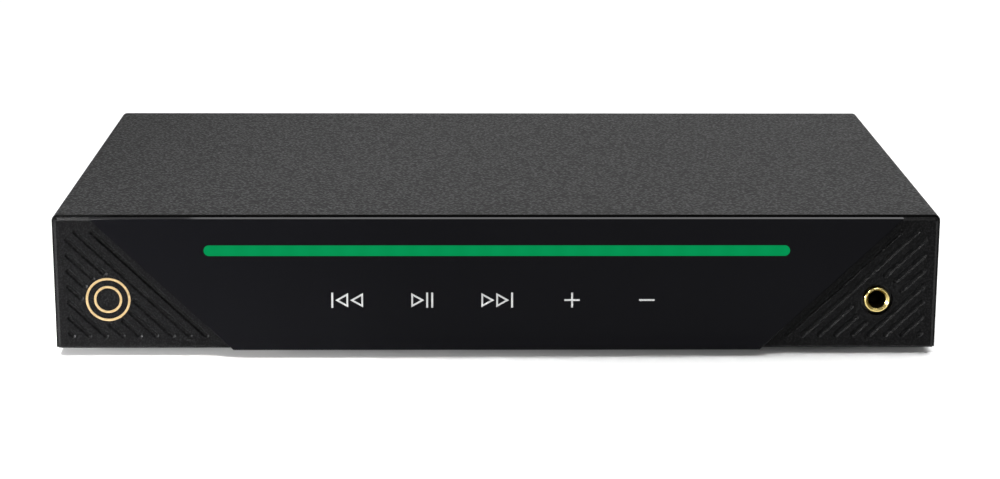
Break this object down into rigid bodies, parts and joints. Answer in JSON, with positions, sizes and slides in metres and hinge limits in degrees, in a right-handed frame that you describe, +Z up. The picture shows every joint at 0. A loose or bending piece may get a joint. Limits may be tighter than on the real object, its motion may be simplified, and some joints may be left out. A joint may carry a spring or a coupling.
{
  "type": "network audio player",
  "caption": "Flat hi-fi streamer: grained steel cover, proud slanted glass front with a green light bar and touch keys, grooved corners, gilt headphone socket, rear sockets and switch.",
  "frame": {"origin": "on the table, under the middle of the outer box", "axes": "+X to the right seen from the front, the glass front faces -Y, +Z up"},
  "size_m": [0.31, 0.196, 0.051],
  "materials": {
    "cover_paint": "textured powder coat",
    "chassis_paint": "satin powder coat",
    "frame_plastic": "fine grained",
    "panel_glass": "polished black",
    "light_green": "lit from behind",
    "symbol_white": "printed",
    "badge_gold": "polished",
    "gilt": "gilt",
    "black_screw": "black oxide",
    "zinc": "zinc plated",
    "foot_rubber": "matt",
    "black_plastic": "moulded",
    "rocker_plastic": "moulded",
    "socket_steel": "tin plated",
    "white_plastic": "moulded",
    "red_plastic": "moulded",
    "board_green": "solder mask",
    "winding_tape": "taped copper winding on an iron core",
    "capacitor_sleeve": "shrink sleeve",
    "heatsink_black": "anodised",
    "chip_black": "moulded",
    "wire_red": "insulated",
    "wire_brown": "insulated",
    "ribbon_grey": "flat cable",
    "fuse_glass": "clear tube with end caps"
  },
  "bodies": {
    "case": {"badge_rings": "badge_gold", "base_tray": "chassis_paint", "board_chips": "chip_black", "board_plugs": "white_plastic", "board_standoffs": "zinc", "board_wires": "wire_red", "chassis_screws": "zinc", "coax_core": "black_plastic", "cover_screws": "black_screw", "dac_board": "board_green", "ethernet_contacts": "gilt", "ethernet_socket": "socket_steel", "foot_front_left": "foot_rubber", "foot_front_right": "foot_rubber", "foot_rear_left": "foot_rubber", "foot_rear_right": "foot_rubber", "front_frame": "frame_plastic", "front_glass": "panel_glass", "headphone_board": "board_green", "headphone_body": "black_plastic", "headphone_contacts": "zinc", "headphone_sleeve": "gilt", "light_bar": "light_green", "light_bar_board": "board_green", "light_bar_leds": "white_plastic", "main_board": "board_green", "mains_blades": "zinc", "mains_inlet": "black_plastic", "mains_wires": "wire_brown", "optical_socket": "black_plastic", "processor_heatsink": "heatsink_black", "rca_barrels": "gilt", "rca_blocks": "black_plastic", "rca_core_left": "white_plastic", "rca_core_right": "red_plastic", "rear_panel": "chassis_paint", "rear_screws": "black_screw", "reset_switch": "black_plastic", "ribbon_cables": "ribbon_grey", "supply_board": "board_green", "supply_capacitors": "capacitor_sleeve", "supply_heatsink": "heatsink_black", "supply_regulators": "chip_black", "switch_housing": "black_plastic", "top_cover": "cover_paint", "touch_board": "board_green", "touch_springs": "zinc", "touch_symbols": "symbol_white", "transformer_clamp": "zinc", "transformer_fixing": "zinc", "transformer_pads": "foot_rubber", "transformer_winding": "winding_tape", "usb_socket": "socket_steel", "usb_tongues": "white_plastic"},
    "power_rocker": {"power_rocker": "rocker_plastic"},
    "fuse_drawer": {"fuse_drawer": "black_plastic", "fuse": "fuse_glass"},
    "optical_shutter": {"optical_shutter": "black_plastic"},
    "reset_button": {"reset_button": "rocker_plastic"}
  },
  "joints": [
    {"name": "power_switch", "type": "hinge", "parent": "case", "child": "power_rocker", "pos_m": [-0.082, 0.0865, 0.026], "axis": [1, 0, 0], "range_deg": [-18, 0]},
    {"name": "fuse_slide", "type": "slide", "parent": "case", "child": "fuse_drawer", "axis": [0, 1, 0], "range_m": [0, 0.015]},
    {"name": "optical_hinge", "type": "hinge", "parent": "case", "child": "optical_shutter", "pos_m": [0.046, 0.0886, 0.0205], "axis": [-1, 0, 0], "range_deg": [0, 80], "stiffness_Nm_per_rad": 0.0003},
    {"name": "reset_press", "type": "slide", "parent": "case", "child": "reset_button", "axis": [0, -1, 0], "range_m": [0, 0.0005], "stiffness_N_per_m": 600}
  ]
}
